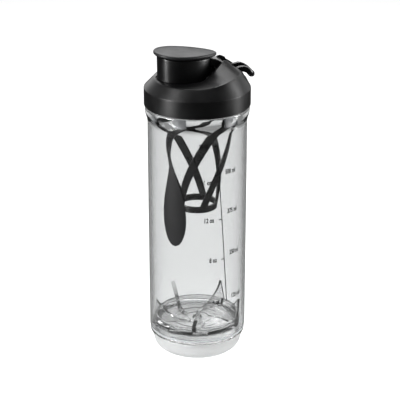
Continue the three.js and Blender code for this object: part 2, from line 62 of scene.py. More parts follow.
# %% Camera
look_at = Vector((0, 0, 0.1193))
turn_left, look_down, distance = math.radians(-15), math.radians(21), 1.4
towards_camera = Vector((
    math.sin(turn_left) * math.cos(look_down),
    -math.cos(turn_left) * math.cos(look_down),
    math.sin(look_down)))
camera_data = bpy.data.cameras.new("camera")
camera_data.lens = 166.9
camera_data.shift_x = 0.00675
camera = bpy.data.objects.new("camera", camera_data)
camera.location = look_at + towards_camera * distance
camera.rotation_mode = "QUATERNION"
camera.rotation_quaternion = towards_camera.to_track_quat("Z", "Y")
scene.collection.objects.link(camera)
scene.camera = camera
print("camera at", [round(v, 3) for v in camera.location])

# %% [markdown]
# ## Colours and nodes
# Shaders work on linear light, and a colour picker gives sRGB, so one function turns a hex value
# into a linear one. Every node is added by one small function that sets and links it.

# %% Colour and node helpers
def linear(hex_colour):
    channels = [int(hex_colour[i:i + 2], 16) / 255 for i in (1, 3, 5)]
    return [c / 12.92 if c <= 0.04045 else ((c + 0.055) / 1.055) ** 2.4 for c in channels] + [1]


def add_node(tree, kind, sockets=None, **settings):
    """Adds a node. A socket's value is a plain value, or another node's output to link."""
    node = tree.nodes.new(kind)
    for name, value in settings.items():
        setattr(node, name, value)
    for name, value in (sockets or {}).items():
        if isinstance(value, bpy.types.NodeSocket):
            tree.links.new(value, node.inputs[name])
        else:
            node.inputs[name].default_value = value
    return node


def new_material(name):
    material = bpy.data.materials.new(name)
    material.use_nodes = True
    material.node_tree.nodes.clear()
    return material, material.node_tree

# %% [markdown]
# ## Opaque mouldings
# The lid, cap, loop, ring and cage are injection-moulded polypropylene or acetal. The steel of
# the mould is spark-eroded, which leaves the plastic with a fine grain of about 0.2 mm: it
# spreads highlights out and breaks up their edges. A smooth mould gives a gloss instead. One
# function makes both kinds, because they differ only in numbers: the grain is a Noise Texture
# that drives the bump, and a broader one moves the roughness a little, as handling does.

# %% Moulded plastic
def moulded(name, colour, roughness, grain_mm, bump, spread=0.06, shine=0.4):
    material, tree = new_material(name)
    place = add_node(tree, "ShaderNodeTexCoord").outputs["Object"]
    grain = add_node(tree, "ShaderNodeTexNoise", {
        "Vector": place, "Scale": 1000 / grain_mm, "Detail": 2.0, "Roughness": 0.6})
    handling = add_node(tree, "ShaderNodeTexNoise", {
        "Vector": place, "Scale": 1000 / 14, "Detail": 3.0, "Roughness": 0.55})
    rough = add_node(tree, "ShaderNodeMapRange", {
        "Value": handling.outputs["Fac"], "From Min": 0.3, "From Max": 0.7,
        "To Min": roughness - spread, "To Max": roughness + spread})
    relief = add_node(tree, "ShaderNodeBump", {
        "Strength": bump, "Distance": 0.00004, "Height": grain.outputs["Fac"]})
    surface = add_node(tree, "ShaderNodeBsdfPrincipled", {
        "Base Color": linear(colour), "Roughness": rough.outputs["Result"], "IOR": 1.49,
        "Specular IOR Level": shine, "Normal": relief.outputs["Normal"]})
    add_node(tree, "ShaderNodeOutputMaterial", {"Surface": surface.outputs["BSDF"]})
    return material


black_lid = moulded("black_polypropylene_spark_eroded", "#050506", 0.38, 0.25, 0.35)
black_cap = moulded("black_polypropylene_cap", "#050506", 0.34, 0.25, 0.25)
# Painted reflection: the top plate's base colour is a lighter black than the cap's, standing in
# for the bright overhead light that its upward face mirrors.
black_cap_top = moulded("black_polypropylene_top_plate_painted_reflection", "#17181a", 0.5, 0.3, 0.4)
black_loop = moulded("black_acetal_polished_mould", "#040405", 0.22, 0.6, 0.05, 0.04)
black_cage = moulded("black_polypropylene_gloss", "#030303", 0.3, 0.6, 0.05, 0.05, 0.5)
grey_ring = moulded("grey_polypropylene_gloss", "#737476", 0.3, 0.6, 0.06, 0.05)
grey_silicone = moulded("grey_silicone_moulded", "#333537", 0.62, 0.4, 0.2)
ink = moulded("black_screen_print_ink", "#0a0b0c", 0.4, 0.15, 0.2, 0.04, 0.3)
drop_ink = moulded("charcoal_screen_print_ink", "#202021", 0.4, 0.15, 0.2, 0.04, 0.3)
print("opaque materials made")

# %% [markdown]
# ## Clear mouldings
# The bottle, cup and floor are clear copolyester, a polyester with an index of refraction near
# 1.54. It is bent by refraction, so the walls are closed solids with a real thickness. Light
# from the lamps would have to find its way through the walls as caustics, which are slow and
# speckled, so rays from lamps pass through a plain transparent shader in the same tint instead.
# The plastic is also a little smoky: Volume Absorption takes about 7% through a wall seen face
# on, and a third along its edge, where the light runs 25 mm inside it.

# %% Clear plastic
def clear_plastic(name, tint, shade, roughness, ripple, smoke):
    material, tree = new_material(name)
    place = add_node(tree, "ShaderNodeTexCoord").outputs["Object"]
    flow = add_node(tree, "ShaderNodeTexNoise", {
        "Vector": place, "Scale": 1000 / 22, "Detail": 1.0, "Roughness": 0.4})
    relief = add_node(tree, "ShaderNodeBump", {
        "Strength": ripple, "Distance": 0.0002, "Height": flow.outputs["Fac"]})
    bending = add_node(tree, "ShaderNodeBsdfPrincipled", {
        "Base Color": linear(tint), "Roughness": roughness, "IOR": 1.54,
        "Transmission Weight": 1.0, "Normal": relief.outputs["Normal"]})
    passing = add_node(tree, "ShaderNodeBsdfTransparent", {"Color": linear(shade)})
    ray = add_node(tree, "ShaderNodeLightPath")
    mix = add_node(tree, "ShaderNodeMixShader", {"Fac": ray.outputs["Is Shadow Ray"]})
    tree.links.new(bending.outputs["BSDF"], mix.inputs[1])
    tree.links.new(passing.outputs["BSDF"], mix.inputs[2])
    depth = add_node(tree, "ShaderNodeVolumeAbsorption", {
        "Color": linear("#3c4042"), "Density": smoke})
    add_node(tree, "ShaderNodeOutputMaterial", {
        "Surface": mix.outputs["Shader"], "Volume": depth.outputs["Volume"]})
    return material


clear_body = clear_plastic("clear_copolyester_blown", "#e4e5e5", "#fafafa", 0.0, 0.06, 8)
clear_floor = clear_plastic("clear_copolyester_moulded", "#e8e8e8", "#f8f8f8", 0.07, 0.12, 6)
print("clear materials made")

# %% [markdown]
# The cup is the same plastic from a sand-blasted mould. Its fine frost scatters about half of
# the light, so the cup looks pale and even, and hides the space under the floor.

# %% Frosted plastic
clear_cup, tree = new_material("clear_copolyester_frosted")
place = add_node(tree, "ShaderNodeTexCoord").outputs["Object"]
frost = add_node(tree, "ShaderNodeTexNoise", {
    "Vector": place, "Scale": 1000 / 0.8, "Detail": 2.0, "Roughness": 0.6})
relief = add_node(tree, "ShaderNodeBump", {
    "Strength": 0.15, "Distance": 0.00005, "Height": frost.outputs["Fac"]})
surface = add_node(tree, "ShaderNodeBsdfPrincipled", {
    "Base Color": linear("#dcdddd"), "Roughness": 0.3, "IOR": 1.54,
    "Transmission Weight": 0.5, "Normal": relief.outputs["Normal"]})
passing = add_node(tree, "ShaderNodeBsdfTransparent", {"Color": linear("#f0f0f0")})
ray = add_node(tree, "ShaderNodeLightPath")
mix = add_node(tree, "ShaderNodeMixShader", {"Fac": ray.outputs["Is Shadow Ray"]})
tree.links.new(surface.outputs["BSDF"], mix.inputs[1])
tree.links.new(passing.outputs["BSDF"], mix.inputs[2])
add_node(tree, "ShaderNodeOutputMaterial", {"Surface": mix.outputs["Shader"]})
print("frosted plastic made")

# %% [markdown]
# The gasket below the bottle is clear silicone. It is softer and milkier than the walls, so it
# is rougher, and a Transmission weight lets only a part of its light go through.

# %% Clear silicone and pin steel
clear_silicone, tree = new_material("clear_silicone_moulded")
place = add_node(tree, "ShaderNodeTexCoord").outputs["Object"]
bloom = add_node(tree, "ShaderNodeTexNoise", {"Vector": place, "Scale": 1000 / 3, "Detail": 2.0})
relief = add_node(tree, "ShaderNodeBump", {
    "Strength": 0.1, "Distance": 0.00005, "Height": bloom.outputs["Fac"]})
surface = add_node(tree, "ShaderNodeBsdfPrincipled", {
    "Base Color": linear("#d9dcde"), "Roughness": 0.42, "IOR": 1.41,
    "Transmission Weight": 0.6, "Normal": relief.outputs["Normal"]})
add_node(tree, "ShaderNodeOutputMaterial", {"Surface": surface.outputs["BSDF"]})

pin_steel, tree = new_material("stainless_steel_drawn_wire")
place = add_node(tree, "ShaderNodeTexCoord").outputs["Object"]
stretched = add_node(tree, "ShaderNodeMapping", {"Vector": place, "Scale": (1, 0.05, 1)})
draw_lines = add_node(tree, "ShaderNodeTexNoise", {
    "Vector": stretched.outputs["Vector"], "Scale": 1000 / 0.3, "Detail": 2.0})
rough = add_node(tree, "ShaderNodeMapRange", {
    "Value": draw_lines.outputs["Fac"], "To Min": 0.2, "To Max": 0.4})
surface = add_node(tree, "ShaderNodeBsdfPrincipled", {
    "Base Color": linear("#c9cbcc"), "Metallic": 1.0, "Roughness": rough.outputs["Result"]})
add_node(tree, "ShaderNodeOutputMaterial", {"Surface": surface.outputs["BSDF"]})
print("silicone and steel made")

# %% [markdown]
# ## Modelling helpers
# Lengths are in millimetres while a piece is being shaped, and are turned to metres when it is
# finished. The finished piece keeps its object at the origin with its place in its mesh.
# A turned piece starts as the outline of its cut face: the corners are joined by edges, each
# corner is rounded with a vertex bevel, and a full spin round Z makes the solid.

# %% Boxes, finishing and turning
MM = 0.001


def corners_of(node):
    low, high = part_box(node)
    return Vector(low) / MM, Vector(high) / MM


def finish_piece(bm, name, body, slot, material, *nodes, sharp=35, bevel_mm=0.0):
    bmesh.ops.remove_doubles(bm, verts=bm.verts, dist=0.0005)
    bmesh.ops.recalc_face_normals(bm, faces=bm.faces)
    bmesh.ops.scale(bm, vec=(MM, MM, MM), verts=bm.verts)
    mesh = bpy.data.meshes.new(name)
    bm.to_mesh(mesh)
    open_edges = sum(len(e.link_faces) != 2 for e in bm.edges)
    bm.free()
    mesh.shade_smooth()
    mesh.set_sharp_from_angle(angle=math.radians(sharp))
    mesh.materials.append(material)
    piece = bpy.data.objects.new(name, mesh)
    scene.collection.objects.link(piece)
    if bevel_mm:
        rounding = piece.modifiers.new("rounded_edges", "BEVEL")
        rounding.width = bevel_mm * MM
        rounding.segments = 3
        rounding.limit_method = "ANGLE"
        rounding.angle_limit = math.radians(28)
    weights = piece.modifiers.new("even_shading", "WEIGHTED_NORMAL")
    weights.keep_sharp = True
    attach(piece, body)
    if nodes:
        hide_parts(*nodes)
    print(f"{name}: {len(mesh.polygons)} faces, {open_edges} open edges")
    return piece


def turned(corners, steps=144):
    """Spins a cut face round Z. corners are (radius, height, rounding)."""
    bm = bmesh.new()
    points = [bm.verts.new((r, 0, z)) for r, z, _ in corners]
    for one, other in zip(points, points[1:]):
        bm.edges.new((one, other))
    if corners[0][0] > 0:
        bm.edges.new((points[-1], points[0]))
    for point, (_, _, rounding) in zip(points, corners):
        if rounding:
            bmesh.ops.bevel(
                bm, geom=[point], offset=rounding, affect="VERTICES", profile=0.5, material=-1,
                segments=max(3, min(10, round(rounding * 2.5))))
    bmesh.ops.spin(
        bm, geom=bm.verts[:] + bm.edges[:], cent=(0, 0, 0), axis=(0, 0, 1),
        angle=2 * math.pi, steps=steps, use_merge=True)
    bmesh.ops.remove_doubles(bm, verts=bm.verts, dist=0.0005)
    bmesh.ops.recalc_face_normals(bm, faces=bm.faces)
    return bm


def combine(bm, tool, how):
    """Adds a closed shape to another (UNION) or cuts it away (DIFFERENCE)."""
    pair = []
    for shape in (bm, tool):
        mesh = bpy.data.meshes.new("shape")
        shape.to_mesh(mesh)
        shape.free()
        pair.append(bpy.data.objects.new("shape", mesh))
        scene.collection.objects.link(pair[-1])
    step = pair[0].modifiers.new("combine", "BOOLEAN")
    step.operation, step.solver, step.object = how, "MANIFOLD", pair[1]
    made = bmesh.new()
    made.from_object(pair[0], bpy.context.evaluated_depsgraph_get())
    for done in pair:
        bpy.data.meshes.remove(done.data)
    return made

# %% [markdown]
# Three more ways of making a shape are needed. A sweep extrudes a face step by step along a
# path. A skin extrudes a ring of edges upwards and puts each new corner on the next outline, as
# a potter pulls up a wall. A screw thread is a spin that climbs at each step.

# %% Sweeps, skins and threads
def sweep(section, frames):
    """Extrudes a flat section, given as (x, y) corners, through a list of matrices."""
    bm = bmesh.new()
    face = bm.faces.new([bm.verts.new(frames[0] @ Vector((x, y, 0))) for x, y in section])
    for before, after in zip(frames, frames[1:]):
        grown = bmesh.ops.extrude_face_region(bm, geom=[face])["geom"]
        if before is not frames[0]:
            bmesh.ops.delete(bm, geom=[face], context="FACES_ONLY")
        face = next(part for part in grown if isinstance(part, bmesh.types.BMFace))
        bmesh.ops.transform(bm, matrix=after @ before.inverted(), verts=face.verts)
    bmesh.ops.recalc_face_normals(bm, faces=bm.faces)
    return bm


def skin(outlines, steps=120):
    """Pulls a ring up through outlines, each of which gives a place for an angle."""
    bm = bmesh.new()
    bmesh.ops.create_circle(bm, cap_ends=False, radius=1, segments=steps)
    turn = bm.verts.layers.float.new("turn")
    for vert in bm.verts:
        vert[turn] = math.atan2(vert.co.y, vert.co.x)
        vert.co = outlines[0](vert[turn])
    ring = bm.edges[:]
    first = ring
    for outline in outlines[1:]:
        grown = bmesh.ops.extrude_edge_only(bm, edges=ring)["geom"]
        verts = {part for part in grown if isinstance(part, bmesh.types.BMVert)}
        for vert in verts:
            vert.co = outline(vert[turn])
        ring = [
            part for part in grown
            if isinstance(part, bmesh.types.BMEdge) and set(part.verts) <= verts]
    for end in (first, ring):
        cap = bmesh.ops.edgeloop_fill(bm, edges=end)["faces"]
        bmesh.ops.poke(bm, faces=cap)
    bmesh.ops.recalc_face_normals(bm, faces=bm.faces)
    return bm


def screw_thread(wall, start, turns, outward, steps=96):
    """A ridge that climbs round a wall and runs out at both ends."""
    sink, crest = wall - 0.4 * outward, wall + 1.4 * outward
    bm = bmesh.new()
    section = [(sink, -1.0), (sink, 1.0), (crest, 0.6), (crest, -0.6)]
    face = bm.faces.new([bm.verts.new((r, 0, start + z)) for r, z in section])
    count = round(steps * turns)
    bmesh.ops.spin(
        bm, geom=[face] + list(face.edges) + list(face.verts), cent=(0, 0, 0), axis=(0, 0, 1),
        dvec=(0, 0, 5.0 * turns / count), angle=2 * math.pi * turns, steps=count)
    for vert in bm.verts:
        radius = math.hypot(vert.co.x, vert.co.y)
        climbed = (vert.co.z - start) / (5.0 * turns)
        run_in = max(0.0, min(1.0, climbed * 12, (1 - climbed) * 12))
        if (radius - wall) * outward > 0:
            wanted = wall + outward * 1.4 * (0.1 + 0.9 * run_in)
            vert.co.x *= wanted / radius
            vert.co.y *= wanted / radius
    bmesh.ops.remove_doubles(bm, verts=bm.verts, dist=0.0005)
    bmesh.ops.recalc_face_normals(bm, faces=bm.faces)
    return bm

# %% [markdown]
# ## The bottle
# The tube is blown from a moulded preform, so its neck and thread are crisp and its wall is
# smooth. It tapers by half a millimetre to the socket at its lower end. One turned outline makes
# the wall, and a thread is added outside the neck and inside the socket.

# %% Bottle
bottle_low, bottle_high = corners_of("bottle_body")
wall_radius = bottle_high.x - 1.9
collar_top = bottle_high.z - 11.3
shoulder = collar_top - 10.2
bore = wall_radius - 2.2
neck_radius = wall_radius - 1.4
socket_radius = wall_radius - 2.65
bottle = turned([
    (socket_radius, bottle_low.z, 0.4), (wall_radius - 0.6, bottle_low.z, 0.8),
    (wall_radius, shoulder - 35, 0), (wall_radius, shoulder, 2.5),
    (bottle_high.x, collar_top - 4.4, 1.4), (bottle_high.x, collar_top, 0.9),
    (neck_radius, collar_top, 0.6), (neck_radius, bottle_high.z, 0.8),
    (neck_radius - 2.6, bottle_high.z, 0.8), (neck_radius - 2.6, collar_top - 4.2, 2.0),
    (bore, shoulder, 3.0), (bore, shoulder - 35, 0)])
bottle = combine(bottle, screw_thread(neck_radius, collar_top + 5.0, 1.0, 1), "UNION")
socket_thread = screw_thread(socket_radius, bottle_low.z + 2.55, 0.6, -1)
bottle = combine(bottle, socket_thread, "UNION")
finish_piece(bottle, "bottle_wall", "bottle", "clear_body", clear_body, "bottle_body")

# %% [markdown]
# ## The base
# The cup is a plain clear dish with a big outer corner. The vortex floor above it is one
# moulding: a dished floor with a centre boss and two swirl rings, five swept fins that climb to
# the wall, and the threaded spigot. The floor is turned; the fins and thread are added to it.

# %% Base cup
cup_high = corners_of("base_cup")[1]
cup_radius = cup_high.x
cup = turned([
    (0, 0, 0), (cup_radius - 3.9, 0, 7.2), (cup_radius, cup_high.z, 0.5),
    (cup_radius - 2.2, cup_high.z, 0.5), (cup_radius - 5.5, 2.2, 5.2), (0, 2.2, 0)])
finish_piece(cup, "cup_shell", "base", "clear_base", clear_cup, "base_cup")

# %% [markdown]
# The floor, its threaded spigot and its skirt are one moulding. The cut face carries two low
# swirl rings and a centre boss, and is spun round the axis before the thread is joined on.

# %% Vortex floor
floor_low, floor_high = corners_of("vortex_floor")
flange_top = cup_high.z + 0.3 + 1.6
floor_level = flange_top + 6.4
spigot_radius = floor_high.x - 3.5
well_radius = spigot_radius - 2.0
skirt_radius = cup_radius - 3.5


def swirl(radius):
    return [(radius + 1.4, floor_level, 0.6), (radius, floor_level + 0.3, 0.6),
            (radius - 1.4, floor_level, 0.6)]


vortex = turned([
    (0, floor_level - 2.4, 0), (skirt_radius - 2.0, floor_level - 2.4, 1.2),
    (skirt_radius - 2.0, floor_low.z, 0.4), (skirt_radius, floor_low.z, 0.4),
    (skirt_radius, cup_high.z + 0.3, 0.2), (floor_high.x, cup_high.z + 0.3, 0.3),
    (floor_high.x, flange_top, 0.3), (spigot_radius, flange_top, 0.3),
    (spigot_radius, flange_top + 11.4, 0.5), (well_radius, flange_top + 11.4, 0.5),
    (well_radius - 0.3, floor_level, 4.2), *swirl(18), *swirl(10),
    (3.6, floor_level, 0.5), (3.0, floor_level + 2.2, 0.7), (0, floor_level + 2.4, 0)])
vortex = combine(vortex, screw_thread(spigot_radius, flange_top + 6.8, 0.6, 1), "UNION")


# %% [markdown]
# A fin is a grid bent into a swept blade: low in the middle, high at the wall, and leaning the
# way the drink swirls. Solidify gives it its thickness.

# %% Fins
FIN_COUNT, FIN_THICKNESS, FIN_INNER_RADIUS = 5, 2.8, 8.0


def fin_blade(angle):
    bm = bmesh.new()
    bmesh.ops.create_grid(bm, x_segments=14, y_segments=6, size=0.5)
    for vert in bm.verts:
        along, up = vert.co.x + 0.5, vert.co.y + 0.5
        radius = FIN_INNER_RADIUS + (spigot_radius - 0.6 - FIN_INNER_RADIUS) * along
        crown = 1.4 + (floor_high.z - floor_level - 1.4) * along ** 2.2
        swing = math.radians(angle + 34 * (1 - along) ** 1.5 + 9 * up * along)
        vert.co = (
            radius * math.cos(swing), radius * math.sin(swing),
            floor_level - 0.5 + (crown + 0.5) * up)
    bm.normal_update()
    bmesh.ops.solidify(bm, geom=bm.faces[:], thickness=FIN_THICKNESS)
    bmesh.ops.remove_doubles(bm, verts=bm.verts, dist=0.0005)
    bmesh.ops.recalc_face_normals(bm, faces=bm.faces)
    return bm


for number in range(FIN_COUNT):
    vortex = combine(vortex, fin_blade(-115 + 360 / FIN_COUNT * number), "UNION")
finish_piece(vortex, "vortex_moulding", "base", "clear_floor", clear_floor, "vortex_floor")

# %% [markdown]
# Three silicone rings keep the drink in: one on the base flange, one under the lid's ceiling,
# and one in the cap that closes the spout. Each is a flat ring turned with softened edges.

# %% Gaskets and spout seal
def seal_ring(node, hole, name, body, slot, material):
    low, high = corners_of(node)
    middle = Vector(((low.x + high.x) / 2, 0, 0))
    outer = high.x - middle.x
    ring = turned([
        (hole, low.z, 0.3), (outer, low.z, 0.3), (outer, high.z, 0.3), (hole, high.z, 0.3)])
    bmesh.ops.translate(ring, vec=middle, verts=ring.verts)
    return finish_piece(ring, name, body, slot, material, node)


seal_ring("base_gasket", corners_of("base_gasket")[1].x - 1.4, "base_seal_ring", "base_seal",
          "clear_silicone", clear_silicone)
seal_ring("lid_gasket", corners_of("lid_gasket")[1].x - 4.0, "lid_seal_ring", "lid_seal",
          "grey_silicone", grey_silicone)
seal_ring("spout_seal", 6.0, "spout_seal_ring", "cap", "grey_silicone", grey_silicone)

# %% [markdown]
# ## The agitator
# Five flat bands leave the clip ring, draw in and twist the same way, and meet in a hoop. Each
# band is a rounded strip swept along a line on a cone, with its flat side facing outwards.

# %% Agitator cage
cage_low = corners_of("agitator_cage")[0]
ring_low, ring_high = corners_of("agitator_ring")
hoop_level = cage_low.z + 2.5
cage_top = hoop_level + 73.5
ring_bore = ring_high.x - 1.7
band_section = [(-1, -0.45), (-0.82, -1), (0.82, -1), (1, -0.45), (1, 0.45), (0.82, 1),
                (-0.82, 1), (-1, 0.45)]


def band_place(z):
    share = (z - hoop_level) / (cage_top - hoop_level)
    radius = 14.1 + (ring_bore - 1.6 - 14.1) * share
    curl = max(0.0, (z - cage_top + 18.5) / 14) ** 2 * 8
    return radius, math.radians(1.3 * (z - hoop_level) + curl - 161), share


def band_frame(z, turn):
    radius, angle, share = band_place(z)
    ahead = band_place(z + 0.5)[1] - band_place(z - 0.5)[1]
    angle += turn
    outward = Vector((math.cos(angle), math.sin(angle), 0))
    around = Vector((-math.sin(angle), math.cos(angle), 0))
    lean = math.atan(radius * ahead)
    across = around * math.cos(lean) - Vector((0, 0, math.sin(lean)))
    along = across.cross(outward)
    half_width = (5.2 + 2.0 * share) / 2
    frame_at = Matrix((across * half_width, outward, along)).transposed().to_4x4()
    frame_at.translation = outward * radius + Vector((0, 0, z))
    return frame_at


cage = turned([
    (13.1, cage_low.z, 0.7), (15.1, cage_low.z, 0.7), (15.1, cage_low.z + 5, 0.7),
    (13.1, cage_low.z + 5, 0.7)], steps=96)
for number in range(5):
    heights = [hoop_level + 73.5 * k / 40 for k in range(41)]
    frames = [band_frame(z, math.radians(72 * number)) for z in heights]
    cage = combine(cage, sweep(band_section, frames), "UNION")
finish_piece(cage, "cage_bands", "agitator", "black_cage", black_cage, "agitator_cage", sharp=50)

# %% [markdown]
# The ring clips over the lid's collar. Its five tabs hang into the bottle and hold the tops of
# the bands. A tab is a short spin of the ring's own cut face, with its lower corners rounded.

# %% Clip ring
ring_bottom = collar_top + 1.3
clip = turned([
    (ring_bore, ring_bottom, 0.4), (ring_high.x, ring_bottom, 0.4),
    (ring_high.x, ring_high.z, 0.5), (ring_bore, ring_high.z, 0.5)], steps=120)
tab_angle = math.degrees(band_place(cage_top - 2)[1])


def tab(middle):
    bm = bmesh.new()
    start = math.radians(middle - 9)
    section = [(ring_bore, ring_low.z), (ring_high.x, ring_low.z),
               (ring_high.x, ring_bottom + 0.5), (ring_bore, ring_bottom + 0.5)]
    face = bm.faces.new([
        bm.verts.new((r * math.cos(start), r * math.sin(start), z)) for r, z in section])
    bmesh.ops.spin(
        bm, geom=[face] + list(face.edges) + list(face.verts), cent=(0, 0, 0),
        axis=(0, 0, 1), angle=math.radians(18), steps=10)
    bmesh.ops.recalc_face_normals(bm, faces=bm.faces)
    lower = [
        e for e in bm.edges
        if all(abs(v.co.z - ring_low.z) < 0.01 for v in e.verts)
        and abs(e.calc_length() - 1.7) < 0.05 and any(len(f.verts) == 4 and
        abs(f.normal.z) < 0.1 and f.calc_area() > 12 for f in e.link_faces)]
    bmesh.ops.bevel(bm, geom=lower, offset=1.6, affect="EDGES", segments=5, profile=0.5,
                    material=-1)
    return bm


for number in range(5):
    clip = combine(clip, tab(tab_angle + 72 * number), "UNION")
finish_piece(clip, "clip_ring", "agitator", "grey_ring", grey_ring, "agitator_ring")

# %% [markdown]
# ## The lid
# The lid is one black moulding: a round skirt, a sloping shoulder, and a rim that runs level
# round the drinking side and rises to a hump over the hinge. Seen from above the rim and the
# cap are eggs, blunt at the drinking side. The outside is a skin pulled up through circles and
# eggs, and the inside, the cap's well, the hinge slot and the loop's pocket are cut out of it.

# %% Outlines of the lid
lid_low, lid_high = corners_of("lid_shell")
pin_low, pin_high = corners_of("cap_hinge_pin")
loop_low, loop_high = corners_of("carry_loop")
lid_radius = lid_high.x
top_radius = lid_radius - 7.05
hinge_x, hinge_z = (pin_low.x + pin_high.x) / 2, (pin_low.z + pin_high.z) / 2
deck = hinge_z - 8.6
well_floor = deck - 2.2
crease = lid_low.z + 13.6


def smooth_step(t):
    t = max(0.0, min(1.0, t))
    return t * t * (3 - 2 * t)


def rim_height(x):
    return deck + 13.3 * smooth_step(max(0.0, (x - hinge_x + 20.5) / 25) ** 1.3)


def shoulder_height(x):
    start = -top_radius / 4
    return deck - 0.4 + 5.0 * smooth_step((x - start) / (top_radius - start))


def circle(radius, height):
    return lambda turn: Vector((
        radius * math.cos(turn), radius * math.sin(turn), height(radius * math.cos(turn))))


def egg(span, half_width, narrowing, height, inset=0.0):
    """An egg outline between two x values, narrower towards the hinge."""
    middle, half_length = (span[0] + span[1]) / 2, (span[1] - span[0]) / 2

    def outline(turn):
        x = middle + (half_length - inset) * math.cos(turn)
        width = (half_width - inset) * (1 - narrowing * math.cos(turn))
        return Vector((x, width * math.sin(turn), height(x)))
    return outline


def level(z):
    return lambda x: z


rim_span = (-top_radius + 1.0, hinge_x + 6.3)
well_span = (-top_radius + 1.4, hinge_x + 4.3)
cap_span = (-top_radius + 2.3, hinge_x - 6.2)
print("hinge at", round(hinge_x, 2), round(hinge_z, 2), "deck at", round(deck, 2))


# %% [markdown]
# The lid is cut to shape with plain blocks and rods, as a mould core leaves its hollows.

# %% Cutting blocks and rods
def block(low, high):
    bm = bmesh.new()
    bmesh.ops.create_cube(bm, size=1)
    size, middle = Vector(high) - Vector(low), (Vector(high) + Vector(low)) / 2
    bmesh.ops.scale(bm, vec=size, verts=bm.verts)
    bmesh.ops.translate(bm, vec=middle, verts=bm.verts)
    return bm


def rod(x, z, radius, half_length, rounding=0.0, steps=40):
    """A round rod that lies across the lid, along Y."""
    bm = turned([
        (0, -half_length, 0), (radius, -half_length, rounding),
        (radius, half_length, rounding), (0, half_length, 0)], steps)
    bmesh.ops.rotate(
        bm, cent=(0, 0, 0), matrix=Matrix.Rotation(math.radians(90), 3, "X"), verts=bm.verts)
    bmesh.ops.translate(bm, vec=(x, 0, z), verts=bm.verts)
    return bm


def moved(bm, x):
    bmesh.ops.translate(bm, vec=(x, 0, 0), verts=bm.verts)
    return bm

# %% [markdown]
# The shell is one skin drawn through outlines: skirt, crease, shoulder and the egg-shaped rim.
# The gasket seat, the cap's well, the hinge slot and the loop's pocket are then cut away.

# %% Lid shell
lid = skin([
    circle(lid_radius - 0.5, level(lid_low.z)), circle(lid_radius, level(lid_low.z + 0.5)),
    circle(lid_radius, level(crease - 1.2)), circle(lid_radius - 0.1, level(crease - 0.5)),
    circle(lid_radius - 0.5, level(crease)),
    circle(top_radius + 0.6, lambda x: shoulder_height(x) - 0.8),
    circle(top_radius + 0.1, lambda x: shoulder_height(x) - 0.2),
    circle(top_radius - 0.5, lambda x: shoulder_height(x) + 0.1),
    egg(rim_span, 16.6, 0.2, rim_height), egg(rim_span, 16.6, 0.2, rim_height, 6.0)])
gasket_seat = bottle_high.z + 2.4
lid_bore = neck_radius + 1.95
lid = combine(lid, turned([
    (0, lid_low.z - 5, 0), (lid_bore, lid_low.z - 5, 0), (lid_bore, gasket_seat, 0.6),
    (lid_bore - 6.7, gasket_seat, 0), (lid_bore - 6.7, well_floor - 2.2, 1.0),
    (0, well_floor - 2.2, 0)]), "DIFFERENCE")
well = skin([
    egg(well_span, 15.6, 0.42, level(well_floor), 1.0),
    egg(well_span, 15.6, 0.42, level(well_floor + 1.0)),
    egg(well_span, 15.6, 0.42, level(well_floor + 60))])
well = combine(well, block((-60, -60, 0), (hinge_x - 5.1, 60, 400)), "INTERSECT")
lid = combine(lid, well, "DIFFERENCE")
slot_low = (-5, -6.7, hinge_z - 4.0)
lid = combine(lid, block(slot_low, (hinge_x + 3.7, 6.7, 400)), "DIFFERENCE")
loop_x, loop_z = loop_low.x + 1.7, deck + 1.6
lid = combine(lid, block((loop_x - 2.8, -10, deck - 2.4), (90, 10, 400)), "DIFFERENCE")
lid = combine(lid, block((hinge_x, -7, hinge_z), (90, 7, 400)), "DIFFERENCE")
print("lid cut to shape")

# %% [markdown]
# The spout stands in the well with a bore right through it. Below the ceiling, a collar takes
# the agitator's ring, and the skirt's inside carries one turn of the lid's thread.

# %% Spout, collar and lid thread
spout_x = (cap_span[0] + cap_span[1]) / 2 - 2.0
spout_top = well_floor + 13.8
lid = combine(lid, moved(turned([
    (0, well_floor - 0.4, 0), (10.6, well_floor - 0.4, 0), (10.1, spout_top, 0.8),
    (0, spout_top, 0)], 96), spout_x), "UNION")
lid = combine(lid, moved(turned([
    (0, lid_low.z, 0), (8.3, lid_low.z, 0), (8.3, spout_top - 0.6, 0.5),
    (8.9, spout_top + 1, 0), (0, spout_top + 1, 0)], 96), spout_x), "DIFFERENCE")
lid = combine(lid, rod(hinge_x, hinge_z, 1.5, 9.9), "DIFFERENCE")
lid = combine(lid, rod(loop_x, loop_z, 2.0, 14.9), "DIFFERENCE")
collar = ring_bore - 0.3
lid = combine(lid, turned([
    (collar - 1.6, well_floor - 11.8, 0.4), (collar, well_floor - 11.8, 0.4),
    (collar, well_floor - 1.8, 0), (collar - 1.6, well_floor - 1.8, 0)]), "UNION")
lid = combine(lid, screw_thread(lid_bore, collar_top + 2.65, 1.0, -1), "UNION")
finish_piece(lid, "lid_moulding", "lid", "black_lid", black_lid, "lid_shell",
             sharp=24, bevel_mm=0.25)

# %% [markdown]
# ## The flip cap
# The cap is a deep egg-shaped cup turned over the spout, with a teardrop plate on its sloping
# top. Its lower edge follows the rim of the lid, so the skirt is cut with a wall whose top edge
# is that same curve. A flat arm runs from the cup to the knuckle on the hinge pin.

# %% Flip cap
cap_middle = (cap_span[0] + cap_span[1]) / 2


def cap_slope(lift):
    return lambda x: deck + 16.4 + lift - math.tan(math.radians(4.2)) * (x - cap_middle)


def side_slab(outline, half_width):
    """A flat outline in x and z, extruded across the lid."""
    bm = bmesh.new()
    face = bm.faces.new([bm.verts.new((x, -half_width, z)) for x, z in outline])
    grown = bmesh.ops.extrude_face_region(bm, geom=[face])["geom"]
    far = [part for part in grown if isinstance(part, bmesh.types.BMVert)]
    bmesh.ops.translate(bm, vec=(0, 2 * half_width, 0), verts=far)
    bmesh.ops.recalc_face_normals(bm, faces=bm.faces)
    return bm


